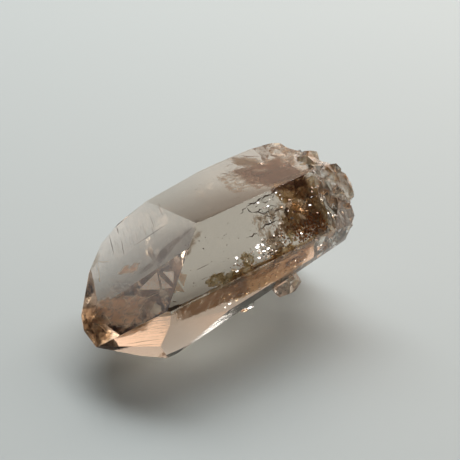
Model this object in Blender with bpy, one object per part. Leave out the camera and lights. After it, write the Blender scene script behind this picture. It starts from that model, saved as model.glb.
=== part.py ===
"""Smoky quartz crystal, one solid that grew as one piece.

The crystal is cut face by face in its own frame: +Z is the c axis running out through the
tip, azimuths are measured about it from the broad front prism face, and slopes are the angle
between a face normal and c (90 for a prism face, 51.8 for a true rhombohedral face).  The
base is an uneven fracture with stubs of smaller crystals fused to its rim.  The finished
crystal is then laid down in its resting position.
"""
import math

import bmesh
import bpy
from mathutils import Matrix, Vector, noise

MM = 0.001

# Crystal form.
PRISM_SLOPE = 90.0
RHOMB_SLOPE = 51.8
BLANK_REACH = 60.0 * MM

# Broken base.
BASE_DEPTH = 18.3 * MM
BASE_SPAN = 46.0 * MM
BASE_CELLS = 26
BREAK_BLOCK = 14.0 * MM
FRACTURE_SWELL = 1.5 * MM
FRACTURE_SWELL_SCALE = 95.0
FRACTURE_LEDGE = 0.55 * MM
FRACTURE_LEDGE_SCALE = 260.0
FRACTURE_GRAIN = 0.25 * MM
FRACTURE_GRAIN_SCALE = 620.0

# Resting position: compass direction and dip of the tip, and the roll of the front face.
TIP_DIRECTION = -141.15
TIP_RISE = -4.72
FRONT_FACE_ROLL = 36.67

WELD = 0.00002


def facing(azimuth, slope):
    """Unit normal of a face given by azimuth and slope in degrees."""
    around = math.radians(azimuth)
    away = math.radians(slope)
    return Vector((math.sin(away) * math.cos(around),
                   math.sin(away) * math.sin(around),
                   math.cos(away)))


def block(reach):
    """A cube of glass-clear material large enough to be cut down to a crystal."""
    bm = bmesh.new()
    bmesh.ops.create_cube(bm, size=2.0 * reach)
    return bm


def cut(bm, azimuth, slope, distance, centre=Vector((0.0, 0.0, 0.0))):
    """Grind one flat face: everything further out than distance along its normal goes."""
    normal = facing(azimuth, slope)
    geometry = bm.verts[:] + bm.edges[:] + bm.faces[:]
    result = bmesh.ops.bisect_plane(bm, geom=geometry, plane_co=centre + normal * distance,
                                    plane_no=normal, clear_outer=True, dist=WELD * 0.1)
    rim = [item for item in result["geom_cut"] if isinstance(item, bmesh.types.BMEdge)]
    if rim:
        bmesh.ops.edgeloop_fill(bm, edges=rim)


def solid(bm, name):
    """Turn finished bmesh geometry into an object with all normals out."""
    bmesh.ops.remove_doubles(bm, verts=bm.verts[:], dist=WELD)
    bmesh.ops.recalc_face_normals(bm, faces=bm.faces[:])
    mesh = bpy.data.meshes.new(name)
    bm.to_mesh(mesh)
    bm.free()
    body = bpy.data.objects.new(name, mesh)
    bpy.context.scene.collection.objects.link(body)
    return body


def combine(body, tool, operation):
    """Exact Boolean of body with tool; the tool is used up."""
    step = body.modifiers.new(operation, "BOOLEAN")
    step.operation = operation
    step.solver = "EXACT"
    step.object = tool
    graph = bpy.context.evaluated_depsgraph_get()
    result = bpy.data.meshes.new_from_object(body.evaluated_get(graph))
    body.modifiers.clear()
    spent = body.data
    body.data = result
    bpy.data.meshes.remove(spent)
    bpy.data.objects.remove(tool)


def stub(name, centre, width, length, twist=0.0, lean=(0.0, 0.0), blunt=0.75):
    """A small six-sided crystal, pointed both ways."""
    bm = block(length * 3.0)
    for side in range(6):
        cut(bm, 60.0 * side, PRISM_SLOPE, width * 0.5)
    for side in range(3):
        cut(bm, 120.0 * side + 60.0, RHOMB_SLOPE, width * blunt * 0.62)
        cut(bm, 120.0 * side, 180.0 - RHOMB_SLOPE, width * blunt * 0.66)
    cut(bm, 0.0, 0.0, length * 0.5)
    cut(bm, 0.0, 180.0, length * 0.5)
    turn = Matrix.Rotation(math.radians(lean[0]), 4, "X") @ Matrix.Rotation(math.radians(lean[1]), 4, "Y")
    turn = turn @ Matrix.Rotation(math.radians(twist), 4, "Z")
    bmesh.ops.transform(bm, matrix=Matrix.Translation(centre) @ turn, verts=bm.verts[:])
    return solid(bm, name)


def shard(name, centre, radii, seed, roughness=0.22):
    """A lumpy chip of quartz: a coarse ball with its corners pushed in and out."""
    bm = bmesh.new()
    bmesh.ops.create_icosphere(bm, subdivisions=2, radius=1.0)
    for vert in bm.verts:
        push = noise.noise(vert.co * 1.7 + Vector((seed, seed * 0.7, -seed)))
        vert.co *= 1.0 + roughness * 2.0 * push
        vert.co = Vector((vert.co.x * radii[0], vert.co.y * radii[1], vert.co.z * radii[2]))
    bmesh.ops.translate(bm, vec=Vector(centre), verts=bm.verts[:])
    return solid(bm, name)


for old in list(bpy.data.objects):
    bpy.data.objects.remove(old, do_unlink=True)


# The crystal's flat faces.
bm = block(BLANK_REACH)
# Six prism faces; the underside one has steepened into the flat it rests on.
cut(bm, 0.0, PRISM_SLOPE, 11.07 * MM)       # broad front face
cut(bm, 60.0, PRISM_SLOPE, 8.30 * MM)       # top face
cut(bm, 120.0, PRISM_SLOPE, 12.59 * MM)     # back upper face
cut(bm, 184.0, 91.5, 15.00 * MM)            # back lower face, opening a little towards the base
cut(bm, -126.7, 85.28, 16.20 * MM)          # resting flat
cut(bm, -60.0, PRISM_SLOPE, 12.05 * MM)     # narrow front lower face
# The tip: one rhombohedral face far larger than the rest, and its smaller neighbours.
cut(bm, 60.0, RHOMB_SLOPE, 13.70 * MM)      # the large sloping tip face
cut(bm, -64.3, 61.4, 20.96 * MM)            # front lower tip face
cut(bm, 180.0, RHOMB_SLOPE, 23.68 * MM)     # back tip face
cut(bm, 120.0, RHOMB_SLOPE, 20.69 * MM)     # back upper minor face
cut(bm, -78.5, 61.9, 21.39 * MM)            # sliver under the front lower tip face
cut(bm, -116.9, 61.7, 22.80 * MM)           # underside minor face
# Facets along the lower front edge, which opens out towards the tip.
cut(bm, -69.0, 91.5, 12.21 * MM)            # long strip
cut(bm, -65.2, 87.9, 12.62 * MM)            # kite-shaped facet
cut(bm, -89.4, 97.6, 12.74 * MM)            # undercut running back under the base
# Narrow facets that round off the top back edge and the left edge of the tip.
cut(bm, 97.7, 83.0, 12.07 * MM)
cut(bm, 108.7, 87.3, 12.51 * MM)
cut(bm, 97.4, 100.3, 14.76 * MM)
cut(bm, 98.4, 80.8, 12.47 * MM)
cut(bm, 107.0, 72.1, 15.09 * MM)
cut(bm, 123.6, 55.5, 20.03 * MM)
cut(bm, 142.0, 45.4, 23.27 * MM)
cut(bm, -178.9, 36.6, 27.52 * MM)
cut(bm, -136.2, 46.8, 25.93 * MM)
cut(bm, -126.2, 53.3, 24.31 * MM)
cut(bm, 28.0, 74.0, 13.85 * MM)             # tiny facet where top, front and tip faces meet
# Clean breaks at the base end of the front and front lower faces.
cut(bm, -12.0, 105.0, 15.25 * MM)
cut(bm, -58.0, 124.0, 19.70 * MM)
cut(bm, 0.0, 180.0, BASE_DEPTH + FRACTURE_SWELL * 2.0)
crystal = solid(bm, "crystal")


# Stubs and lumps of quartz fused to the base rim.
RIM_GROWTHS = (
    stub("stub", Vector((1.6, 5.7, -17.2)) * MM, 4.6 * MM, 5.6 * MM, twist=8.0),
    shard("lump", Vector((6.7, 4.6, -16.7)) * MM, (2.7 * MM, 2.3 * MM, 2.0 * MM), 6.2, roughness=0.24),
    shard("lump", Vector((8.3, 2.7, -16.4)) * MM, (2.2 * MM, 1.9 * MM, 2.3 * MM), 8.3),
    shard("lump", Vector((7.0, 3.9, -14.6)) * MM, (1.9 * MM, 1.5 * MM, 1.6 * MM), 2.7),
    shard("lump", Vector((10.2, 1.4, -17.2)) * MM, (2.5 * MM, 2.2 * MM, 1.9 * MM), 4.4, roughness=0.24),
    shard("plate", Vector((11.5, -1.5, -18.1)) * MM, (1.5 * MM, 3.1 * MM, 0.9 * MM), 0.8, roughness=0.14),
    shard("lump", Vector((10.0, -2.4, -16.8)) * MM, (1.8 * MM, 1.6 * MM, 1.6 * MM), 5.1),
    stub("stub", Vector((6.2, -6.6, -16.6)) * MM, 5.0 * MM, 5.4 * MM, twist=4.0),
    stub("stub", Vector((-4.6, 6.4, -17.1)) * MM, 5.2 * MM, 5.2 * MM, twist=3.0),
    stub("stub", Vector((-9.4, 1.4, -17.3)) * MM, 6.0 * MM, 5.8 * MM, twist=-7.0, lean=(3.0, 4.0)),
    stub("stub", Vector((-10.2, -5.4, -16.5)) * MM, 5.6 * MM, 6.4 * MM, twist=6.0, lean=(-3.0, 2.0)),
    stub("stub", Vector((-3.2, -7.0, -17.0)) * MM, 6.2 * MM, 5.0 * MM, twist=15.0),
    stub("stub", Vector((-1.4, 0.8, -17.8)) * MM, 6.6 * MM, 4.4 * MM, twist=-11.0, lean=(5.0, -8.0)),
    shard("lump", Vector((3.6, -2.2, -17.9)) * MM, (2.6 * MM, 2.2 * MM, 1.7 * MM), 6.6),
    shard("lump", Vector((-6.4, -1.8, -17.8)) * MM, (2.4 * MM, 2.8 * MM, 1.6 * MM), 9.2),
)


def fracture_tool(azimuth, slope, distance, span, seed):
    """A slab whose upper side is a break: broad swells, stepped ledges, fine grain."""
    slab = bmesh.new()
    bmesh.ops.create_grid(slab, x_segments=BASE_CELLS, y_segments=BASE_CELLS, size=span * 0.5)
    skin = slab.faces[:]
    for vert in slab.verts:
        spot = Vector((vert.co.x, vert.co.y, 0.0))
        swell = noise.noise(spot * FRACTURE_SWELL_SCALE + Vector((seed, 1.7, 0.4)))
        ledge = round(2.5 * noise.noise(spot * FRACTURE_LEDGE_SCALE + Vector((0.3, seed, 2.2))))
        grain = noise.noise(spot * FRACTURE_GRAIN_SCALE + Vector((7.7, 0.9, seed)))
        vert.co.z = FRACTURE_SWELL * swell + FRACTURE_LEDGE * ledge + FRACTURE_GRAIN * grain
    back = bmesh.ops.extrude_face_region(slab, geom=skin)
    for item in back["geom"]:
        if isinstance(item, bmesh.types.BMVert):
            item.co.z = BREAK_BLOCK
    outward = facing(azimuth, slope)
    aim = outward.to_track_quat("Z", "Y").to_matrix().to_4x4()
    bmesh.ops.transform(slab, matrix=Matrix.Translation(outward * distance) @ aim, verts=slab.verts[:])
    return solid(slab, "fracture")


combine(crystal, fracture_tool(0.0, 180.0, BASE_DEPTH, BASE_SPAN, 3.1), "DIFFERENCE")
combine(crystal, fracture_tool(40.0, 128.0, 16.4 * MM, 18.0 * MM, 5.2), "DIFFERENCE")
for growth in RIM_GROWTHS:
    combine(crystal, growth, "UNION")

# Chips and hollows broken out of the rim, with the deep notch beside the thin plate.
CHIPS = (
    shard("notch", Vector((12.2, -4.9, -18.4)) * MM, (3.0 * MM, 0.9 * MM, 2.0 * MM), 1.3),
    shard("chip", Vector((11.9, 4.2, -14.2)) * MM, (1.7 * MM, 1.5 * MM, 1.9 * MM), 4.9),
    shard("chip", Vector((4.4, 9.0, -16.8)) * MM, (1.6 * MM, 1.4 * MM, 1.7 * MM), 2.2),
    shard("chip", Vector((1.2, 11.0, -16.6)) * MM, (2.5 * MM, 1.5 * MM, 1.8 * MM), 5.7),
    shard("chip", Vector((-1.6, 11.8, -18.4)) * MM, (1.4 * MM, 1.3 * MM, 1.5 * MM), 3.9),
    shard("chip", Vector((-15.0, -3.0, -16.8)) * MM, (2.4 * MM, 3.0 * MM, 2.6 * MM), 7.4),
    shard("chip", Vector((-6.4, -15.2, -15.2)) * MM, (3.6 * MM, 2.0 * MM, 3.4 * MM), 3.6),
)
for chip in CHIPS:
    combine(crystal, chip, "DIFFERENCE")

# Small growths on the undercut below the long strip facet.
LATE_GROWTHS = (
    stub("nub", Vector((-1.0, -12.4, -6.2)) * MM, 4.6 * MM, 5.4 * MM, twist=20.0),
    shard("flake", Vector((-1.5, -13.35, 2.6)) * MM, (0.5 * MM, 0.7 * MM, 1.7 * MM), 2.8, roughness=0.3),
)
for growth in LATE_GROWTHS:
    combine(crystal, growth, "UNION")

crystal.name = "crystal"
crystal.data.name = "crystal"

# Lay the crystal down.
tip_heading = Matrix.Rotation(math.radians(TIP_DIRECTION), 4, "Z")
tip_level = Matrix.Rotation(math.radians(90.0 - TIP_RISE), 4, "Y")
roll = Matrix.Rotation(math.radians(FRONT_FACE_ROLL + 90.0), 4, "Z")
crystal.data.transform(tip_heading @ tip_level @ roll)
corners = [vert.co for vert in crystal.data.vertices]
low = Vector([min(corner[axis] for corner in corners) for axis in range(3)])
high = Vector([max(corner[axis] for corner in corners) for axis in range(3)])
crystal.data.transform(Matrix.Translation((-(low.x + high.x) * 0.5, -(low.y + high.y) * 0.5, -low.z)))

smoky = bpy.data.materials.new("smoky_quartz")
smoky.use_nodes = True
shader = smoky.node_tree.nodes["Principled BSDF"]
shader.inputs["Base Color"].default_value = (0.62, 0.52, 0.42, 1.0)
shader.inputs["Roughness"].default_value = 0.06
shader.inputs["IOR"].default_value = 1.544
shader.inputs["Transmission Weight"].default_value = 1.0
crystal.data.materials.clear()
crystal.data.materials.append(smoky)
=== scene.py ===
import math
import random

import bmesh
import bpy
import numpy as np
from mathutils import Matrix, Vector, noise


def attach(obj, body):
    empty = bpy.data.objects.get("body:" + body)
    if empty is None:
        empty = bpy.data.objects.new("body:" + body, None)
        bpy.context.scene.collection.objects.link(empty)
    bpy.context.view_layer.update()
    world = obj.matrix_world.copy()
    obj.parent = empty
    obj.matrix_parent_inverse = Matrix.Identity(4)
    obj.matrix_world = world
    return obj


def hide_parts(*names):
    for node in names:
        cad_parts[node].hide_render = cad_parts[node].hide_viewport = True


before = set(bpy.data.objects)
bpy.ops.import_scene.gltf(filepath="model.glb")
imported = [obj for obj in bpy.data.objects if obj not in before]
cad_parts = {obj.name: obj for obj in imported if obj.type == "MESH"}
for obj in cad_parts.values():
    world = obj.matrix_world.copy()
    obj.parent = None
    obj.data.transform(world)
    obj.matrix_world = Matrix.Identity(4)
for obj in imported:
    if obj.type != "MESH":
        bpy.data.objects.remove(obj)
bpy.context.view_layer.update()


# Camera.
# It stands 175 mm from ORIGIN, a point near the middle of the crystal, straight in front of
# it, and looks down on it by 28 degrees.
MM = 0.001
ORIGIN = Vector((1.362, 0.128, 16.203)) * MM
CAMERA_RISE = 28.0
CAMERA_REACH = 175.0 * MM
CAMERA_ANGLE = 26.0
NEAREST_SEEN = 10.0 * MM
scene = bpy.context.scene
rise = math.radians(CAMERA_RISE)
camera_data = bpy.data.cameras.new("camera")
camera_data.angle = math.radians(CAMERA_ANGLE)
camera_data.clip_start = NEAREST_SEEN
camera = bpy.data.objects.new("camera", camera_data)
camera.location = ORIGIN + Vector((0.0, -math.cos(rise), math.sin(rise))) * CAMERA_REACH
camera.rotation_euler = (math.radians(90.0 - CAMERA_RISE), 0.0, 0.0)
scene.collection.objects.link(camera)
scene.camera = camera


# Floor.
# A wide board in plain pale paint, on which the crystal lies loose. It is a stage, and no
# part of the object.
FLOOR_HALF = 1.5


def colour(code):
    """Linear colour from an sRGB hex value."""
    parts = [int(code[at:at + 2], 16) / 255.0 for at in (1, 3, 5)]
    return (*[c / 12.92 if c <= 0.04045 else ((c + 0.055) / 1.055) ** 2.4 for c in parts], 1.0)


def add(tree, kind, links=(), **settings):
    """One node with its settings; links are (input name or index, socket or value)."""
    node = tree.nodes.new(kind)
    for key, value in settings.items():
        setattr(node, key, value)
    for name, source in links:
        if isinstance(source, bpy.types.NodeSocket):
            tree.links.new(source, node.inputs[name])
        else:
            node.inputs[name].default_value = source
    return node


def paint(name):
    """A new material, with its node tree and its shader."""
    made = bpy.data.materials.new(name)
    made.use_nodes = True
    return made, made.node_tree, made.node_tree.nodes["Principled BSDF"]


def finish_mesh(bm, name, material, smooth=False):
    """The finished bmesh as an object at the origin."""
    mesh = bpy.data.meshes.new(name)
    bm.to_mesh(mesh)
    bm.free()
    mesh.materials.append(material)
    for polygon in mesh.polygons:
        polygon.use_smooth = smooth
    piece = bpy.data.objects.new(name, mesh)
    scene.collection.objects.link(piece)
    return piece


# Matt paint, rolled on: an even pale grey without gloss, so that shadows show in full.
floor_paint, _, shader = paint("pale_matte_floor")
shader.inputs["Base Color"].default_value = colour("#b6bfbf")
shader.inputs["Roughness"].default_value = 0.65
bm = bmesh.new()
bmesh.ops.create_grid(bm, x_segments=1, y_segments=1, size=FLOOR_HALF)
floor = finish_mesh(bm, "floor", floor_paint)


# Light.
# Plain soft studio light: a large softbox overhead and a little behind, a weak fill low in
# front, a low card on the right, a warm glow low behind, and a small pale window behind on
# the left.
GLOW_AT = (17.0, 26.0)
WINDOW_AT = (-58.0, 27.5)
ROOM = (0.036, 0.039, 0.040, 1.0)
GLOW_RIM = (0.50, 0.43, 0.37, 1.0)
GLOW_HEART = (1.30, 0.90, 0.66, 1.0)
WINDOW_LIGHT = 1.15
SKY_STRENGTH = 1.3
BOUNCES = 24
GLOSSY_BOUNCES = 16


def sky_aim(azimuth, elevation):
    """A direction in the sky; azimuth 0 is behind the crystal, positive to the right."""
    a, e = math.radians(azimuth), math.radians(elevation)
    return Vector((math.sin(a) * math.cos(e), math.cos(a) * math.cos(e), math.sin(e)))


def lamp(name, azimuth, elevation, distance, size, power, tint):
    """A softbox aimed at the crystal; its distance and size are in metres."""
    data = bpy.data.lights.new(name, "AREA")
    data.shape = "RECTANGLE"
    data.size, data.size_y = size
    data.energy = power
    data.color = colour(tint)[:3]
    aim = sky_aim(azimuth, elevation)
    made = bpy.data.objects.new(name, data)
    made.location = ORIGIN + aim * distance
    made.rotation_mode = "QUATERNION"
    made.rotation_quaternion = aim.to_track_quat("Z", "Y")
    scene.collection.objects.link(made)


lamp("softbox", azimuth=6.0, elevation=52.0, distance=0.70, size=(0.95, 0.30), power=5.7,
     tint="#fdfeff")
lamp("front_fill", azimuth=150.0, elevation=14.0, distance=0.70, size=(0.80, 0.25), power=0.55,
     tint="#fff6ee")
lamp("right_card", azimuth=68.0, elevation=20.0, distance=0.60, size=(0.60, 0.46), power=0.95,
     tint="#fff0e8")

# The sky is dim all round. The glow and the window brighten with the cosine of the angle to
# their middle: the glow from 57 degrees, over its rim at 26, to 10, the window from 10 to 5.
# Their light is linear, because the glow's heart is brighter than a hex value can say.
world = bpy.data.worlds.new("studio")
world.use_nodes = True
scene.world = world
tree = world.node_tree
background = tree.nodes["Background"]
sky = add(tree, "ShaderNodeTexCoord").outputs["Generated"]
nearness = add(tree, "ShaderNodeVectorMath", [(0, sky), (1, sky_aim(*GLOW_AT))],
               operation="DOT_PRODUCT").outputs["Value"]
glow = add(tree, "ShaderNodeValToRGB", [("Fac", nearness)])
stops = glow.color_ramp.elements
stops[0].position, stops[0].color = 0.55, ROOM
stops[1].position, stops[1].color = 0.985, GLOW_HEART
stops.new(0.90).color = GLOW_RIM
to_left = add(tree, "ShaderNodeVectorMath", [(0, sky), (1, sky_aim(*WINDOW_AT))],
              operation="DOT_PRODUCT").outputs["Value"]
window = add(tree, "ShaderNodeMapRange", [("Value", to_left), ("From Min", 0.986),
                                          ("From Max", 0.996),
                                          ("To Max", WINDOW_LIGHT)]).outputs[0]
both = add(tree, "ShaderNodeVectorMath", [(0, glow.outputs["Color"]), (1, window)],
           operation="ADD").outputs["Vector"]
tree.links.new(both, background.inputs["Color"])
background.inputs["Strength"].default_value = SKY_STRENGTH
scene.view_settings.view_transform = "Standard"

# Light passes many faces on its way through the crystal and the films in it.
scene.cycles.max_bounces = BOUNCES
scene.cycles.transmission_bounces = BOUNCES
scene.cycles.transparent_max_bounces = BOUNCES
scene.cycles.glossy_bounces = GLOSSY_BOUNCES


# Crystal body.
# Smoky quartz, grown as one piece: flat glassy faces with thin worn edges, a nub under the
# lower edge, and a rough base where it broke from its rock, stained by clay and rust. It lies
# loose on a flat face of its underside, its tip to the left and a little down.

# The crystal's own frame has +Z out through the tip and +X out of the broad front face. LAY
# turns it into the lying position, and ORIGIN is where its zero ends up.
LAY = (Matrix.Rotation(math.radians(-141.15), 4, "Z")
       @ Matrix.Rotation(math.radians(94.72), 4, "Y")
       @ Matrix.Rotation(math.radians(126.67), 4, "Z"))
CRYSTAL_FRAME = Matrix.Translation(ORIGIN) @ LAY
TO_TIP = (LAY @ Vector((0.0, 0.0, 1.0))).normalized()
TO_BACK = (LAY @ Vector((-1.0, 0.0, 0.0))).normalized()

# Places are in millimetres in that frame, and angles in degrees.
BASE_START = -13.4
NUB = (-1.0, -12.4, -6.2)
NUB_REACH = 3.2 * MM
ROUGH_FACE = 12.0 * MM * MM
WALL_FACE = 2.0 * MM * MM
WORN_FACE = 3.0 * MM * MM
SAME_POINT = 0.002 * MM
FLAT_ANGLE = 0.3
WORN_EDGE = 0.13 * MM
WORN_LENGTH = 1.2 * MM
WORN_ANGLE = 6.0
LONG_EDGE = 0.8 * MM

# The break is uneven by this much, with 900 large and 2100 small bumps a metre: about 1.1 and
# 0.5 mm each.
GRAIN = 0.10 * MM
BREAK_BUMPS = ((900.0, 1.0), (2100.0, 0.5))


def place(point):
    """A point given in millimetres in the crystal's own frame, as it lies on the floor."""
    return CRYSTAL_FRAME @ (Vector(point) * MM)


def towards_tip(face):
    """How far a face's middle is towards the tip, in millimetres along the c axis."""
    return (face.calc_center_median() - ORIGIN).dot(TO_TIP) / MM


def is_rough(face):
    """True for the small broken faces of the base and its growths."""
    return face.calc_area() < ROUGH_FACE and towards_tip(face) < BASE_START


def on_nub(face):
    """True for the faces of the nub under the lower edge."""
    return (face.calc_center_median() - place(NUB)).length <= NUB_REACH


def bumps(point, offset, waves):
    """Smooth random height at a point. Waves are pairs: how close they lie, and their share."""
    return sum(share * noise.noise(point * pitch + offset) for pitch, share in waves)


body = bmesh.new()
body.from_mesh(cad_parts["crystal"].data)
bmesh.ops.remove_doubles(body, verts=body.verts[:], dist=SAME_POINT)
bmesh.ops.dissolve_limit(body, angle_limit=math.radians(FLAT_ANGLE), verts=body.verts[:],
                         edges=body.edges[:])

# The flat outer faces, kept for the pieces inside, which have to stay behind them.
walls = [(face.normal.copy(), face.calc_center_median()) for face in body.faces
         if face.calc_area() > WALL_FACE and towards_tip(face) > BASE_START
         and not on_nub(face)]

# Edges between large faces are worn to a thin bevel.
worn = [e for e in body.edges
        if len(e.link_faces) == 2 and e.calc_length() > WORN_LENGTH
        and min(f.calc_area() for f in e.link_faces) > WORN_FACE
        and e.calc_face_angle() > math.radians(WORN_ANGLE)]
bmesh.ops.bevel(body, geom=worn, offset=WORN_EDGE, offset_type="WIDTH", segments=2,
                profile=0.5, affect="EDGES", material=-1, clamp_overlap=True)

# The broken base is cut fine, in two rounds, and made uneven.
for cuts in (1, 2):
    bmesh.ops.triangulate(body, faces=[f for f in body.faces if is_rough(f)])
    long_edges = [e for e in body.edges if e.calc_length() > LONG_EDGE
                  and any(is_rough(f) for f in e.link_faces)]
    bmesh.ops.subdivide_edges(body, edges=long_edges, cuts=cuts, use_grid_fill=True)
bmesh.ops.triangulate(body, faces=[f for f in body.faces if is_rough(f)])
body.normal_update()
for vert in body.verts:
    if all(is_rough(f) for f in vert.link_faces):
        vert.co += vert.normal * bumps(vert.co, Vector(), BREAK_BUMPS) * GRAIN

# Smoky quartz, as grown: clear as glass, browner the further light runs through it, with faint
# growth steps in its faces. On the broken base, clay and rust make it mottled, dull and half
# clear. The steps are 0.7 mm apart in height as it lies, because Mapping scales before it
# turns.
QUARTZ_IOR = 1.544
STAIN_PATCH = 3.84615 * MM
STAIN_GRAIN = 2.38095 * MM
STEP_LENGTH = 6.25 * MM
STEP_SQUEEZE = 9.0
STEP_DEPTH = 0.1 * MM
quartz, tree, shader = paint("smoky_quartz_grown_faces")
shader.inputs["IOR"].default_value = QUARTZ_IOR
smoke = add(tree, "ShaderNodeVolumeAbsorption",
            [("Color", colour("#cbb38e")), ("Density", 30.0)])
tree.links.new(smoke.outputs["Volume"], tree.nodes["Material Output"].inputs["Volume"])
where = add(tree, "ShaderNodeTexCoord").outputs["Object"]
share = add(tree, "ShaderNodeAttribute", attribute_name="stain_share").outputs["Fac"]
patches = add(tree, "ShaderNodeTexNoise", [("Vector", where), ("Scale", 1.0 / STAIN_PATCH),
                                           ("Detail", 4.0), ("Roughness", 0.6)]).outputs[0]
stain = add(tree, "ShaderNodeMapRange",
            [("Value", patches), ("From Min", 0.34), ("From Max", 0.56)]).outputs[0]
stained = add(tree, "ShaderNodeMath", [(0, share), (1, stain)], operation="MULTIPLY").outputs[0]
tones = add(tree, "ShaderNodeTexNoise", [("Vector", where), ("Scale", 1.0 / STAIN_GRAIN),
                                         ("Detail", 4.0), ("Roughness", 0.7)]).outputs[0]
ramp = add(tree, "ShaderNodeValToRGB", [("Fac", tones)])
ramp.color_ramp.elements[0].position = 0.40
ramp.color_ramp.elements[0].color = colour("#bc8650")
ramp.color_ramp.elements[1].position = 0.60
ramp.color_ramp.elements[1].color = colour("#ffecca")
tint = add(tree, "ShaderNodeMix", [("Factor", stained), (6, colour("#ffffff")),
                                   (7, ramp.outputs["Color"])], data_type="RGBA").outputs[2]
tree.links.new(tint, shader.inputs["Base Color"])
clear = add(tree, "ShaderNodeMapRange",
            [("Value", stained), ("To Min", 1.0), ("To Max", 0.38)]).outputs[0]
tree.links.new(clear, shader.inputs["Transmission Weight"])
banded = add(tree, "ShaderNodeMapping", [("Vector", where),
                                         ("Rotation", LAY.inverted().to_euler()),
                                         ("Scale", (1.0, 1.0, STEP_SQUEEZE))]).outputs[0]
steps = add(tree, "ShaderNodeTexNoise", [("Vector", banded), ("Scale", 1.0 / STEP_LENGTH),
                                         ("Detail", 3.0), ("Roughness", 0.6)]).outputs[0]
relief = add(tree, "ShaderNodeBump", [("Height", steps), ("Strength", 0.08),
                                      ("Distance", STEP_DEPTH)]).outputs[0]
tree.links.new(relief, shader.inputs["Normal"])
matte = add(tree, "ShaderNodeMapRange",
            [("Value", stained), ("To Min", 0.0), ("To Max", 0.36)]).outputs[0]
tree.links.new(matte, shader.inputs["Roughness"])

# How much of the stain each face takes. The grown faces take none, apart from those at the
# back of the tip, and the flat of the break takes less than the growths round it. Which way a
# face looks is the cosine of its angle to the tip or to the back.
GROWTH_STAIN = 1.0
BREAK_STAIN = 0.55
NUB_STAIN = 0.9
TIP_STAIN = 0.5
AWAY_FROM_TIP = -0.5
STRAIGHT_AWAY = -0.9
OVER_TIP = 0.55
BACK_OF_TIP = 0.3
stain_share = body.faces.layers.float.new("stain_share")
for face in body.faces:
    tipward, backward = face.normal.dot(TO_TIP), face.normal.dot(TO_BACK)
    if is_rough(face):
        face[stain_share] = GROWTH_STAIN if tipward > AWAY_FROM_TIP else BREAK_STAIN
    elif tipward < STRAIGHT_AWAY:
        face[stain_share] = BREAK_STAIN
    elif on_nub(face):
        face[stain_share] = NUB_STAIN
    elif tipward > OVER_TIP and backward > BACK_OF_TIP:
        face[stain_share] = TIP_STAIN
crystal = finish_mesh(body, "crystal_body", quartz)
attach(crystal, "root")
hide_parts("crystal")


# Clay in the base.
# Iron-rich clay that the quartz closed round as it grew from its rock, held in it for good.
# It shows through the glassy faces as brown smoke and as ochre, olive and pale clots.
TUCK = 0.10 * MM
LUMP_CUTS = 4
CLOT_BUMPS = ((1.7, 1.0), (4.1, 0.5), (10.0, 0.3))

# Against the quartz round them, smoke and clay bend light by next to nothing.
SMOKE_IOR = 1.001
CLAY_IOR = 1.02

# Clay's pores are 1 / 0.55, nearly twice, as wide as its grain, with soft edges.
PORES_TO_GRAIN = 0.55
PORE_EDGE = 0.10


def inside(bm, name, material, smooth=False):
    """A piece enclosed in the crystal, pressed flat where it would touch a face. It is done
    twice, because a push away from one face can end past another."""
    points = np.array([vert.co for vert in bm.verts])
    for _ in range(2):
        for normal, spot in walls:
            normal = np.array(normal)
            past = np.maximum((points - np.array(spot)) @ normal + TUCK, 0.0)
            points -= past[:, None] * normal
    for vert, point in zip(bm.verts, points):
        vert.co = point
    piece = finish_mesh(bm, name, material, smooth=smooth)
    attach(piece, "root")


def clot(bm, centre, radii, seed, unevenness):
    """One uneven rounded lump, in millimetres in the crystal's own frame."""
    offset = Vector((seed, 1.7 * seed, -seed))
    for vert in bmesh.ops.create_icosphere(bm, subdivisions=LUMP_CUTS, radius=1.0)["verts"]:
        way = vert.co.normalized()
        swell = 1.0 + unevenness * bumps(way, offset, CLOT_BUMPS)
        vert.co = place([middle + w * r * swell for middle, w, r in zip(centre, way, radii)])


def haze(name, tint, density):
    """Quartz of a deeper colour: no surface of its own, only a soft tint that grows with the
    depth of it. Density is per metre."""
    made, tree, shader = paint(name)
    shader.inputs["IOR"].default_value = SMOKE_IOR
    shader.inputs["Roughness"].default_value = 0.0
    shader.inputs["Transmission Weight"].default_value = 1.0
    shader.inputs["Base Color"].default_value = colour("#ffffff")
    dense = add(tree, "ShaderNodeVolumeAbsorption", [("Color", colour(tint)),
                                                     ("Density", density)])
    tree.links.new(dense.outputs["Volume"], tree.nodes["Material Output"].inputs["Volume"])
    return made


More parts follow.
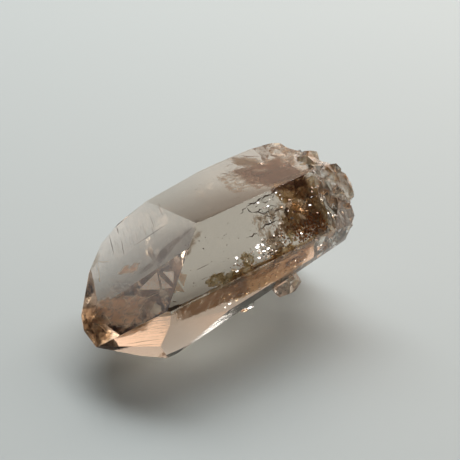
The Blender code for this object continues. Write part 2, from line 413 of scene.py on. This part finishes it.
def earth(name, dark, middle, light, grain, porosity, see_through):
    """Mottled clay with pores in it, its grain in millimetres. Quartz fills the pores, so
    there's no gloss. The more porosity, the more of it is gaps, with soft edges."""
    made, tree, shader = paint(name)
    where = add(tree, "ShaderNodeTexCoord").outputs["Object"]
    tones = add(tree, "ShaderNodeTexNoise", [("Vector", where), ("Scale", 1.0 / (grain * MM)),
                                             ("Detail", 4.0), ("Roughness", 0.7)]).outputs[0]
    ramp = add(tree, "ShaderNodeValToRGB", [("Fac", tones)])
    stops = ramp.color_ramp.elements
    stops[0].position, stops[0].color = 0.34, colour(dark)
    stops[1].position, stops[1].color = 0.66, colour(light)
    stops.new(0.50).color = colour(middle)
    tree.links.new(ramp.outputs["Color"], shader.inputs["Base Color"])
    pores = add(tree, "ShaderNodeTexNoise",
                [("Vector", where), ("Scale", PORES_TO_GRAIN / (grain * MM)), ("Detail", 5.0),
                 ("Roughness", 0.75)]).outputs[0]
    solid = add(tree, "ShaderNodeMapRange",
                [("Value", pores), ("From Min", porosity - PORE_EDGE),
                 ("From Max", porosity + PORE_EDGE)]).outputs[0]
    tree.links.new(solid, shader.inputs["Alpha"])
    shader.inputs["Roughness"].default_value = 0.6
    shader.inputs["IOR"].default_value = CLAY_IOR
    shader.inputs["Transmission Weight"].default_value = see_through
    return made


def under_face(azimuth, distance, across, along):
    """A point at a distance from the c axis, on a plane parallel to a prism face. The front
    face has azimuth 0, the upper one 60 and the lower one -60."""
    a = math.radians(azimuth)
    return Vector((distance * math.cos(a) + across * math.sin(a),
                   distance * math.sin(a) - across * math.cos(a), along))


# Smoky quartz that took a deeper colour in the rock: a soft brown depth behind the clay.
root_cloud = haze("root_smoke", "#c4a26f", density=260.0)
bm = bmesh.new()
clot(bm, (6.8, 0.6, -10.4), (3.0, 3.4, 3.4), seed=1.3, unevenness=0.5)
clot(bm, (6.6, -3.4, -8.6), (3.2, 3.0, 4.2), seed=4.4, unevenness=0.5)
inside(bm, "root_clouds", root_cloud, smooth=True)

# Ochre clay, settled on the growing faces: mottled warm lumps, ragged where they thin out.
clay = earth("ochre_clay", "#b89468", "#d8bc8c", "#f6e6c6", grain=1.0, porosity=0.47,
             see_through=0.85)
bm = bmesh.new()
for centre, radii, seed in (((8.4, 1.6, -7.6), (0.8, 1.3, 1.6), 1.3),
                            ((7.4, 1.2, -12.0), (1.6, 2.0, 1.8), 2.9),
                            ((8.4, -1.2, -9.6), (0.9, 1.9, 2.0), 4.4),
                            ((6.8, -3.4, -12.8), (1.6, 2.2, 1.4), 7.7),
                            ((8.8, -3.2, -6.6), (0.6, 1.6, 1.0), 3.9),
                            (under_face(-60.0, 11.0, -4.2, 7.0), (0.5, 0.8, 3.0), 4.1),
                            (under_face(-60.0, 10.9, -2.6, 2.4), (0.6, 0.9, 2.8), 5.3),
                            (under_face(-60.0, 11.0, -4.4, -2.0), (0.6, 0.9, 2.8), 7.1),
                            (under_face(-60.0, 10.9, -1.2, -5.2), (0.6, 1.2, 2.4), 1.9)):
    clot(bm, centre, radii, seed, unevenness=0.65)
inside(bm, "ochre_clay_clots", clay, smooth=True)

# Olive clay, finer in grain: small greenish brown pockets close under the front face, towards
# its lower edge.
olive = earth("olive_clay", "#a08858", "#c2ac80", "#e8dab8", grain=0.45, porosity=0.46,
              see_through=0.82)
bm = bmesh.new()
for centre, radii, seed in (((9.3, -5.6, 5.4), (0.6, 1.0, 1.0), 6.6),
                            ((8.9, -6.3, 12.2), (0.6, 0.9, 1.6), 8.3),
                            ((8.8, -6.9, 9.4), (0.5, 0.7, 1.9), 2.1),
                            ((9.2, -4.2, -4.6), (0.4, 1.9, 0.8), 3.4)):
    clot(bm, centre, radii, seed, unevenness=0.65)
inside(bm, "olive_clay_pockets", olive, smooth=True)

# Pale clay, poor in iron: a creamy puff beside the olive pockets.
cloud = earth("pale_clay_cloud", "#dcc4a8", "#f0dcc2", "#fff2dc", grain=0.8, porosity=0.46,
              see_through=0.55)
bm = bmesh.new()
clot(bm, (8.9, -5.6, -0.8), (0.5, 1.5, 1.4), seed=5.9, unevenness=0.6)
inside(bm, "pale_clay_cloud", cloud, smooth=True)


# Rust specks.
# Grains of iron rust that settled on the quartz as it grew, and were closed in. They are
# strewn close under the front face, towards its lower edge, and under the lower face.
SEED = 11
draw = random.Random(SEED)


def strewn(azimuth, nearest, deepest, low, high, start, stop):
    """A random point in a zone, a shallow box under a prism face: from nearest to deepest
    inwards, from low to high across the face, and from start to stop along the c axis."""
    return under_face(azimuth, draw.uniform(nearest, deepest), draw.uniform(low, high),
                      draw.uniform(start, stop))


def grains(bm, count, smallest, largest, zone):
    """Small rounded grains strewn in a zone, with their radii in millimetres."""
    for _ in range(count):
        bmesh.ops.create_icosphere(bm, subdivisions=1,
                                   radius=draw.uniform(smallest, largest) * MM,
                                   matrix=Matrix.Translation(place(strewn(*zone))))


# Iron rust, in grains: rusty brown to ochre dots, a little clear.
rust = earth("iron_rust_powder", "#7c4420", "#b87a40", "#ecc692", grain=0.30, porosity=0.20,
             see_through=0.6)
bm = bmesh.new()
for count, smallest, largest, zone in (
        (260, 0.08, 0.26, (0.0, 10.4, 8.6, 3.6, 7.0, -12.0, -5.5)),
        (90, 0.06, 0.20, (0.0, 10.6, 9.4, 2.0, 7.0, -6.0, -1.0)),
        (60, 0.05, 0.16, (0.0, 10.6, 9.4, 4.8, 7.2, -1.0, 9.0)),
        (240, 0.05, 0.15, (-60.0, 11.95, 11.65, -5.6, 0.6, -8.0, 13.0))):
    grains(bm, count, smallest, largest, zone)
inside(bm, "rust_grains", rust)


# Healed fractures.
# Old cracks that new quartz closed again, with the clay that had washed into them. Each is a
# thin warped film, held in the crystal, that runs out raggedly at its edges. The brown film
# along the lower face towards the tip is painted shade.
FILM = 0.02 * MM

# Films are warped in waves of about 2.9 and 0.9 mm, and their dust begins softly.
FILM_BUMPS = ((0.35, 1.0), (1.1, 0.35))
DUST_EDGE = 0.2


def veil(bm, corners, warp, seed, edge, cells=(48, 32)):
    """A thin sheet between four corners, warped by about warp millimetres, that fades over
    its outer share called edge."""
    fade = bm.verts.layers.float.get("fade") or bm.verts.layers.float.new("fade")
    sheet = bmesh.ops.create_grid(bm, x_segments=cells[0], y_segments=cells[1], size=0.5)["verts"]
    a, b, c, d = [Vector(corner) for corner in corners]
    normal = (b - a).cross(d - a).normalized()
    for vert in sheet:
        u, v = vert.co.x + 0.5, vert.co.y + 0.5
        flat = a.lerp(b, u).lerp(d.lerp(c, u), v)
        offset = Vector((seed, -seed, seed * 0.5))
        vert.co = place(flat + normal * bumps(flat, offset, FILM_BUMPS) * warp)
        vert[fade] = min(1.0, u / edge, (1.0 - u) / edge) * min(1.0, v / edge, (1.0 - v) / edge)
    own = set(sheet)
    faces = [face for face in bm.faces if face.verts[0] in own]
    bm.normal_update()
    bmesh.ops.solidify(bm, geom=faces, thickness=FILM)


def dusting(name, thin, thick, cover, grain, stretch, level=0.46, see_through=0.8, most=1.0):
    """Dust in a healed crack, with its tint where it is thin and thick. Its grain is in
    millimetres, and stretched in height, because Mapping scales before it turns. Cover is how
    far it thins towards the edges, a lower level gives more of it, and most is how solid it
    gets."""
    made, tree, shader = paint(name)
    where = add(tree, "ShaderNodeTexCoord").outputs["Object"]
    fade = add(tree, "ShaderNodeAttribute", attribute_name="fade").outputs["Fac"]
    turned = add(tree, "ShaderNodeMapping",
                 [("Vector", where), ("Rotation", LAY.inverted().to_euler()),
                  ("Scale", (1.0, 1.0, 1.0 / stretch))]).outputs[0]
    cloud = add(tree, "ShaderNodeTexNoise", [("Vector", turned), ("Scale", 1.0 / (grain * MM)),
                                             ("Detail", 6.0), ("Roughness", 0.68),
                                             ("Distortion", 0.4)]).outputs[0]
    lifted = add(tree, "ShaderNodeMath", [(0, fade), (1, cover), (2, -0.5 * cover)],
                 operation="MULTIPLY_ADD").outputs[0]
    raised = add(tree, "ShaderNodeMath", [(0, cloud), (1, lifted)], operation="ADD").outputs[0]
    dust = add(tree, "ShaderNodeMapRange", [("Value", raised), ("From Min", level),
                                            ("From Max", level + DUST_EDGE)]).outputs[0]
    faded = add(tree, "ShaderNodeMath", [(0, dust), (1, fade)], operation="MULTIPLY").outputs[0]
    thinned = add(tree, "ShaderNodeMath", [(0, faded), (1, most)], operation="MULTIPLY").outputs[0]
    ramp = add(tree, "ShaderNodeValToRGB", [("Fac", dust)])
    ramp.color_ramp.elements[0].color = colour(thin)
    ramp.color_ramp.elements[1].color = colour(thick)
    tree.links.new(ramp.outputs["Color"], shader.inputs["Base Color"])
    tree.links.new(thinned, shader.inputs["Alpha"])
    shader.inputs["Roughness"].default_value = 0.4
    shader.inputs["IOR"].default_value = CLAY_IOR
    shader.inputs["Transmission Weight"].default_value = see_through
    return made


# Violet-brown clay dust, washed in: large dusky patches behind the upper face.
violet = dusting("violet_brown_dust", "#d2baa8", "#96725e", cover=0.34, grain=2.2, stretch=2.0)
bm = bmesh.new()
veil(bm, [under_face(60.0, 7.2, -6.6, -5.0), under_face(60.0, 7.0, -3.0, -16.4),
          under_face(60.0, 6.8, 6.8, -13.5), under_face(60.0, 7.0, 6.2, -2.0)],
     warp=0.5, seed=1.7, edge=0.14)
veil(bm, [under_face(60.0, 5.4, -3.5, -7.0), under_face(60.0, 5.0, 0.0, -15.8),
          under_face(60.0, 5.2, 7.4, -13.2), under_face(60.0, 5.6, 6.6, -4.0)],
     warp=0.6, seed=4.2, edge=0.16)
inside(bm, "upper_healed_fractures", violet, smooth=True)

# Brown clay dust, spread thin: separate ragged wisps.
wispy = dusting("thin_brown_wisps", "#dcc8b4", "#a08468", cover=0.22, grain=1.0, stretch=3.5,
                level=0.54)
bm = bmesh.new()
veil(bm, [under_face(60.0, 7.9, -6.8, -1.0), under_face(60.0, 7.8, -5.5, -9.5),
          under_face(60.0, 7.8, 5.8, -6.5), under_face(60.0, 7.9, 5.6, 2.5)],
     warp=0.15, seed=2.7, edge=0.2)
veil(bm, [under_face(0.0, 10.5, -1.6, 5.0), under_face(0.0, 10.3, -2.2, -8.0),
          under_face(0.0, 10.0, 6.6, -7.0), under_face(0.0, 10.2, 6.8, 2.0)],
     warp=0.3, seed=9.3, edge=0.25)
inside(bm, "ragged_wisps", wispy, smooth=True)

# Painted shade: a brown film under the lower face that darkens it towards the tip, where the
# face shows a dark reflection of its shaded side.
brown = dusting("painted_shade_film", "#e2ccb0", "#ac8a66", cover=0.34, grain=0.9, stretch=2.6,
                level=0.44)
bm = bmesh.new()
veil(bm, [under_face(-60.0, 11.6, -5.9, 24.0), under_face(-60.0, 11.5, -5.9, 5.0),
          under_face(-60.0, 11.2, 2.6, 3.0), under_face(-60.0, 11.5, -0.6, 20.5)],
     warp=0.12, seed=3.1, edge=0.16, cells=(64, 24))
inside(bm, "lower_edge_painted_shade", brown, smooth=True)

# Ochre clay dust, settled deeper in: a warm ground along the lower face.
ochre = dusting("ochre_dust", "#f0dcb8", "#c09c68", cover=0.4, grain=0.8, stretch=1.0,
                level=0.43, most=0.85)
bm = bmesh.new()
veil(bm, [under_face(-60.0, 11.0, -6.2, 13.5), under_face(-60.0, 11.0, -6.2, -13.0),
          under_face(-60.0, 10.8, 4.2, -9.0), under_face(-60.0, 10.8, 3.0, 9.5)],
     warp=0.3, seed=7.3, edge=0.18)
inside(bm, "lower_ochre_film", ochre, smooth=True)

# Cream clay dust and tiny bubbles, close-set: a milky screen across the back of the root.
milky = dusting("milky_root_dust", "#fff8ee", "#f2dcc0", cover=0.5, grain=2.6, stretch=1.0,
                level=0.34, see_through=0.25, most=0.9)
bm = bmesh.new()
veil(bm, [(-14.0, 3.2, -12.4), (-0.5, 3.2, -12.4), (1.0, 9.2, -12.4), (-14.0, 9.2, -12.4)],
     warp=0.8, seed=6.1, edge=0.25, cells=(40, 40))
inside(bm, "milky_root_veil", milky, smooth=True)


# Smoke in the tip.
# Smoky quartz that took a deeper colour as it grew: amber brown in the point, and olive brown
# in wings that spread from one spot. A healed crack with cream dust runs past them.
PLUME_BUMPS = ((1.9, 1.0), (4.3, 0.5))
PLUME_UNEVENNESS = 0.6


def plume(bm, start, end, radius, seed):
    """An uneven lump of smoke drawn out from one point to another."""
    start, end = Vector(start), Vector(end)
    turn = Vector((0.0, 0.0, 1.0)).rotation_difference(end - start).to_matrix()
    half = 0.5 * (end - start).length
    offset = Vector((seed, -seed, 0.3 * seed))
    for vert in bmesh.ops.create_icosphere(bm, subdivisions=LUMP_CUTS, radius=1.0)["verts"]:
        way = vert.co.normalized()
        swell = 1.0 + PLUME_UNEVENNESS * bumps(way, offset, PLUME_BUMPS)
        out = Vector((way.x * radius, way.y * radius, way.z * half)) * swell
        vert.co = place(start.lerp(end, 0.5) + turn @ out)


# Amber smoke: a warm depth in the point, with no edges.
amber = haze("amber_smoke", "#c5b190", density=480.0)
bm = bmesh.new()
for centre, radii, seed in (((-6.0, -4.2, 28.4), (3.8, 3.4, 2.6), 3.3),
                            ((-3.0, -7.0, 29.0), (3.4, 2.2, 1.8), 9.3),
                            ((-9.4, 1.0, 25.6), (1.4, 2.6, 2.4), 7.3),
                            ((-10.6, 5.0, 21.8), (0.9, 1.8, 2.6), 5.7)):
    clot(bm, centre, radii, seed, unevenness=0.35)
inside(bm, "amber_tip_clouds", amber, smooth=True)

# Olive smoke, denser: small dark wings in clear quartz.
olive_smoke = haze("olive_smoke", "#b89976", density=1000.0)
bm = bmesh.new()
for start, end, radius, seed in (((1.0, -1.4, 15.4), (3.9, 0.6, 12.6), 0.95, 1.2),
                                 ((3.2, 0.2, 13.4), (5.9, 1.2, 11.4), 0.60, 8.2),
                                 ((1.4, -1.3, 15.3), (-1.4, 1.7, 14.2), 0.50, 4.9),
                                 ((1.2, -1.2, 15.4), (-1.4, -1.6, 18.0), 0.55, 2.6),
                                 ((1.4, -1.5, 15.3), (4.6, -4.2, 16.6), 0.28, 6.2),
                                 ((4.4, -2.4, 15.8), (6.4, -4.6, 17.4), 0.30, 7.7),
                                 ((5.8, 1.2, 11.6), (7.8, 1.8, 10.6), 0.40, 3.1)):
    plume(bm, start, end, radius, seed)
inside(bm, "olive_smoke_wings", olive_smoke, smooth=True)

# Cream clay dust, washed in: a warm cloudy sheet under the large tip face.
amber_dust = dusting("amber_dust", "#fff0dc", "#f2d4b0", cover=0.5, grain=1.4, stretch=1.0,
                     level=0.34, see_through=0.3, most=0.85)
bm = bmesh.new()
veil(bm, [(-5.6, -3.4, 26.2), (-1.4, -2.8, 22.2), (5.0, -5.4, 20.2), (3.2, -7.2, 24.6)],
     warp=0.20, seed=8.8, edge=0.25, cells=(64, 32))
inside(bm, "tip_healed_fracture", amber_dust, smooth=True)


# Tip fractures.
# Thin cracks under the large tip face, of the kind that a knock opens, with clay in them.
# Three short blades are cracks whose creamy white is a painted sheen, in place of the light
# they reflect. Two wide films hold peach dust, one milky dust.
BLADE = 0.04 * MM


def blade(bm, *points):
    """A thin flat crack with three or more corners."""
    face = bm.faces.new([bm.verts.new(place(point)) for point in points])
    face.normal_update()
    grown = bmesh.ops.extrude_face_region(bm, geom=[face], use_keep_orig=True)["geom"]
    bmesh.ops.translate(bm, vec=-face.normal * BLADE,
                        verts=[g for g in grown if isinstance(g, bmesh.types.BMVert)])


# Painted sheen: creamy triangles that look nearly solid, their pale colour standing in for the
# light that these cracks reflect.
pale = earth("painted_sheen_film", "#f6dfc4", "#fdeedb", "#fffaf0", grain=0.5, porosity=0.30,
             see_through=0.30)
bm = bmesh.new()
blade(bm, (1.34, -3.41, 20.69), (1.82, -2.91, 16.12), (4.29, -5.39, 18.34))
blade(bm, (3.54, -3.03, 17.15), (5.70, -5.10, 18.70), (6.84, -5.85, 17.60))
blade(bm, (4.80, -2.60, 17.05), (7.60, -5.05, 17.59), (6.22, -3.51, 15.71))
inside(bm, "tip_fractures_painted_sheen", pale)

# Peach clay dust, washed in: cloudy warm sheets.
peach = dusting("peach_dust", "#fff2e2", "#f2cca6", cover=0.3, grain=1.3, stretch=1.0,
                see_through=0.3, most=0.8)
bm = bmesh.new()
veil(bm, [(-4.8, 0.4, 22.2), (-5.2, 1.6, 19.2), (-0.6, 0.2, 15.6), (0.2, -1.4, 18.4)],
     warp=0.3, seed=4.7, edge=0.3)
veil(bm, [(-6.1, -4.6, 29.8), (-7.3, -0.6, 25.4), (3.4, -4.3, 19.9), (6.6, -9.9, 24.5)],
     warp=0.3, seed=2.9, edge=0.2, cells=(64, 32))
inside(bm, "peach_tip_fractures", peach, smooth=True)

# Fine white dust and bubbles: a faint milky sheet.
milk = dusting("milky_dust", "#f6f4f2", "#dcd4cc", cover=0.3, grain=1.8, stretch=1.0,
               level=0.44, see_through=0.4, most=0.5)
bm = bmesh.new()
veil(bm, [(-6.6, -0.6, 24.0), (-5.4, 0.6, 21.0), (1.6, -2.6, 19.6), (0.6, -4.4, 22.4)],
     warp=0.4, seed=2.1, edge=0.35)
inside(bm, "milky_tip_fracture", milk, smooth=True)


# Glints.
# Small cracks that stayed open, each a flat gap with gas in it. They lie close under the
# front and the lower face, with some under the upper face near the base.
FLAKE_CORNERS = 7
FLAKE_THICKNESS = 0.06

# The cracks of a set face nearly the same way, in the crystal's own frame.
UPWARDS = (0.71, 0.68, 0.16)
UP_AND_FORWARD = (0.89, 0.45, 0.12)
UP_AND_BACK = (0.57, 0.70, -0.43)
UP_AND_ROOTWARD = (0.80, 0.45, -0.42)
ROOTWARD = (0.87, 0.06, -0.49)


def flake(bm, centre, normal, radius):
    """One open crack: an uneven plate that is longer one way, in millimetres."""
    turn = Vector((0.0, 0.0, 1.0)).rotation_difference(Vector(normal)).to_matrix().to_4x4()
    plate = bmesh.ops.create_cone(bm, cap_ends=True, segments=FLAKE_CORNERS, radius1=1.0,
                                  radius2=0.9, depth=FLAKE_THICKNESS)["verts"]
    stretch = draw.uniform(0.35, 0.9)
    for vert in plate:
        vert.co.x *= radius * draw.uniform(0.7, 1.2)
        vert.co.y *= radius * stretch * draw.uniform(0.7, 1.2)
        vert.co = place(Vector(centre) + turn @ vert.co)


def tilted(normal, spread):
    """A direction near the given one."""
    return Vector([middle + draw.gauss(0.0, spread) for middle in normal])


# Gas in an open crack: it throws the light in the quartz back, so a flake gleams like silver.
silver, tree, shader = paint("open_crack")
tree.nodes.remove(shader)
gleam = add(tree, "ShaderNodeBsdfGlass", [("Color", colour("#ffffff")),
                                          ("IOR", 1.0 / QUARTZ_IOR), ("Roughness", 0.03)])
tree.links.new(gleam.outputs[0], tree.nodes["Material Output"].inputs["Surface"])
bm = bmesh.new()
for count, normal, spread, smallest, largest, zone in (
        (70, UPWARDS, 0.08, 0.07, 0.45, (0.0, 10.5, 8.0, 3.4, 7.2, -8.0, 2.0)),
        (90, UPWARDS, 0.10, 0.05, 0.40, (0.0, 10.5, 8.0, 4.2, 7.4, 0.0, 9.0)),
        (40, UPWARDS, 0.10, 0.05, 0.30, (0.0, 10.5, 8.5, -1.0, 7.0, -14.0, -6.0)),
        (30, UP_AND_ROOTWARD, 0.10, 0.05, 0.35, (0.0, 10.4, 8.0, -3.0, 7.0, -15.0, -8.0)),
        (40, UPWARDS, 0.12, 0.06, 0.50, (0.0, 10.5, 8.5, -3.0, 3.0, -7.0, -1.0)),
        (150, UP_AND_FORWARD, 0.08, 0.09, 0.60, (-60.0, 11.9, 11.35, -5.6, 2.2, -7.0, 12.0)),
        (90, ROOTWARD, 0.08, 0.08, 0.50, (-60.0, 11.9, 11.35, -5.6, 2.2, -11.0, 6.0)),
        (50, UP_AND_BACK, 0.10, 0.08, 0.30, (60.0, 7.7, 6.0, 0.0, 4.6, -14.4, -12.0)),
        (60, UPWARDS, 0.30, 0.08, 0.30, (60.0, 7.7, 5.4, 0.0, 4.6, -14.4, -11.0)),
        (110, UPWARDS, 0.07, 0.08, 0.80, (0.0, 10.3, 8.6, 3.8, 6.8, -2.8, 2.8))):
    for _ in range(count):
        reach = smallest + (largest - smallest) * draw.random() ** 3
        flake(bm, strewn(*zone), tilted(normal, spread), reach)
inside(bm, "open_crack_flakes", silver)


# Channels and specks.
# Fine channels close under the faces, which the quartz left open as it grew and clay filled.
# Pale ones lie in the tip, and short pale strokes under the lower face are painted glints.
# Dark ones lie in the tip and under the front and the upper face, with dark specks.
END_SHARE = 0.25


def stroke(bm, points, width):
    """A thin four-sided thread through several points, as wide as given in the middle, in
    millimetres, and thinner at its ends."""
    points = [Vector(point) for point in points]
    total = sum((b - a).length for a, b in zip(points, points[1:]))
    run = 0.0
    for a, b in zip(points, points[1:]):
        way = b - a
        turn = Vector((0.0, 0.0, 1.0)).rotation_difference(way).to_matrix().to_4x4()
        shares = [math.sin(math.pi * min(1.0, max(0.0, part / total)))
                  for part in (run, run + way.length)]
        thick = [0.5 * width * (END_SHARE + (1.0 - END_SHARE) * share) for share in shares]
        thread = bmesh.ops.create_cone(bm, cap_ends=True, segments=4, radius1=thick[0],
                                       radius2=thick[1], depth=way.length)["verts"]
        for vert in thread:
            vert.co = place(a.lerp(b, 0.5) + turn @ vert.co)
        run += way.length


def ragged(a, b, pieces, shake):
    """Points from one end to the other, those between them shaken by about shake mm."""
    a, b = Vector(a), Vector(b)
    middle = [a.lerp(b, step / pieces) + Vector([draw.gauss(0.0, shake) for _ in range(3)])
              for step in range(1, pieces)]
    return [a, *middle, b]


# Pale clay, set hard in the channels: thin cream lines without gloss. The short strokes under
# the lower face share this cream as painted glints.
PAINTED_GLINT_STROKES = 34
pale_line, _, shader = paint("pale_filling_and_painted_glints")
shader.inputs["Base Color"].default_value = colour("#f6e6c8")
shader.inputs["Roughness"].default_value = 0.5
bm = bmesh.new()
for start, end, width in (((-1.99, -3.67, 27.2), (0.41, -5.69, 27.8), 0.16),
                          ((0.88, -2.61, 24.2), (2.13, -3.59, 24.5), 0.14),
                          ((2.13, -3.59, 24.5), (3.30, -3.11, 23.2), 0.14),
                          ((-9.17, 4.27, 21.1), (-6.18, 1.31, 23.5), 0.12),
                          ((-9.17, 4.27, 21.1), (-7.28, 2.98, 19.6), 0.12),
                          ((-6.90, 1.80, 23.2), (-6.00, 1.10, 23.7), 0.22),
                          ((3.20, -4.60, 22.9), (6.00, -5.00, 20.3), 0.10),
                          ((-3.20, -5.20, 28.2), (-1.00, -6.70, 28.4), 0.10),
                          ((-4.60, -3.60, 28.0), (-2.40, -5.20, 27.9), 0.09)):
    stroke(bm, ragged(start, end, pieces=4, shake=0.03), width)
# Painted glints: short pale strokes under the lower face, where glints show along it.
for _ in range(PAINTED_GLINT_STROKES):
    start = strewn(-60.0, 11.85, 11.6, -4.6, 0.8, 6.0, 13.0)
    end = strewn(-60.0, 11.85, 11.6, -4.6, 0.8, 6.0, 13.0)
    end = start + (end - start).normalized() * draw.uniform(0.5, 1.9)
    stroke(bm, [start, start.lerp(end, 0.5), end], draw.uniform(0.05, 0.11))
inside(bm, "pale_channels_and_painted_glints", pale_line)

# Iron-stained clay, set hard in the channels: thin dark brown lines without gloss. The hairs
# lie on a plane close under the upper tip face, 13.3 mm from the zero of the crystal's frame.
UPPER_STREAKS = 70
FRONT_STREAKS = 40
TIP_HAIRS = 34
HAIR_PLANE = (0.393, 0.681, 0.618)
HAIR_DISTANCE = 13.3
HAIR_RUN = Vector((0.52, -0.62, 0.35))
dark_line, _, shader = paint("dark_channel_filling")
shader.inputs["Base Color"].default_value = colour("#54402e")
shader.inputs["Roughness"].default_value = 0.6
bm = bmesh.new()
for start, end, width in (((-6.61, 8.70, 16.4), (-5.58, 7.5, 17.1), 0.20),
                          ((-4.30, 12.0, 11.6), (-7.10, 10.4, 15.2), 0.30),
                          ((-7.10, 10.4, 15.2), (-9.90, 8.80, 18.8), 0.24),
                          ((-7.66, 8.0, 17.8), (-4.87, 4.6, 19.85), 0.14),
                          ((-4.33, 6.15, 17.75), (-2.39, 3.62, 19.3), 0.13),
                          ((0.06, 9.1, 10.7), (3.11, 6.80, 12.40), 0.10),
                          ((0.14, 7.95, 13.0), (2.16, 5.45, 14.45), 0.10),
                          ((-1.05, 4.40, 17.6), (4.5, 5.25, 13.2), 0.10),
                          ((7.6, -0.25, 15.9), (9.7, -0.6, 14.95), 0.22),
                          ((0.9, -9.42, 27.08), (3.35, -10.97, 22.58), 0.12),
                          ((0.6, -10.32, 25.84), (1.89, -11.65, 22.61), 0.12),
                          ((10.67, -3.45, 15.24), (10.67, -3.43, 12.63), 0.08),
                          ((10.67, -5.17, 15.31), (10.67, -5.25, 13.9), 0.09),
                          ((10.7, -6.11, 21.48), (10.7, -6.6, 20.77), 0.16)):
    stroke(bm, ragged(start, end, pieces=4, shake=0.03), width)
for start, end, width in (((10.07, -2.42, 3.64), (10.07, -2.38, 1.71), 0.22),
                          ((10.07, -2.02, 1.25), (10.07, -1.87, -2.98), 0.30),
                          ((10.07, -0.43, -0.75), (10.07, -0.91, -3.19), 0.20),
                          ((10.27, 1.70, 3.29), (10.27, 2.41, 1.40), 0.14),
                          ((10.27, 2.41, 1.40), (10.27, 2.43, -0.90), 0.22),
                          ((10.2, 2.43, -0.90), (10.2, 2.72, -1.83), 0.26),
                          ((10.2, 2.72, -1.83), (10.2, 2.47, -3.68), 0.30),
                          ((10.1, 2.47, -3.68), (9.9, 2.80, -5.58), 0.22),
                          ((10.27, 2.18, 1.52), (10.27, 1.05, 0.96), 0.18),
                          ((10.27, 1.05, 0.96), (10.27, -0.21, -1.62), 0.22),
                          ((10.27, -0.21, -1.62), (10.27, 0.19, -2.39), 0.18),
                          ((-3.99, 11.34, -10.85), (-0.91, 9.6, -12.72), 0.30),
                          ((-2.36, 10.4, -5.83), (-2.15, 10.3, -7.66), 0.16),
                          ((-1.02, 9.6, -3.69), (1.3, 8.25, -4.09), 0.22),
                          ((1.3, 8.25, -4.09), (2.64, 7.5, -6.05), 0.24),
                          ((0.93, 8.5, -4.44), (2.45, 7.6, -8.54), 0.18)):
    stroke(bm, ragged(start, end, pieces=5, shake=0.12), width)
for _ in range(UPPER_STREAKS):
    start = strewn(60.0, 8.0, 7.3, -6.0, 3.0, -9.5, -3.0)
    end = start + Vector((draw.gauss(0.0, 0.25), draw.gauss(0.0, 0.25), draw.uniform(0.3, 1.3)))
    stroke(bm, [start, start.lerp(end, 0.5), end], draw.uniform(0.06, 0.14))
for _ in range(FRONT_STREAKS):
    start = strewn(0.0, 10.5, 9.6, -2.6, 1.4, -6.0, 0.0)
    end = start + Vector((0.0, draw.gauss(0.0, 0.3), draw.uniform(0.4, 1.4)))
    stroke(bm, [start, start.lerp(end, 0.5), end], draw.uniform(0.06, 0.16))
for _ in range(TIP_HAIRS):
    start = Vector((draw.uniform(-7.0, 3.0), draw.uniform(5.6, 8.4), 0.0))
    start.z = (HAIR_DISTANCE - HAIR_PLANE[0] * start.x - HAIR_PLANE[1] * start.y) / HAIR_PLANE[2]
    end = start + HAIR_RUN * draw.uniform(0.8, 3.4)
    stroke(bm, [start, start.lerp(end, 0.5), end], draw.uniform(0.02, 0.05))
grains(bm, 60, 0.04, 0.11, (0.0, 10.9, 10.6, -2.0, 6.5, -4.0, 17.0))
grains(bm, 26, 0.04, 0.10, (60.0, 8.15, 7.9, -5.0, 6.0, -6.0, 8.0))
inside(bm, "dark_channels_and_specks", dark_line)
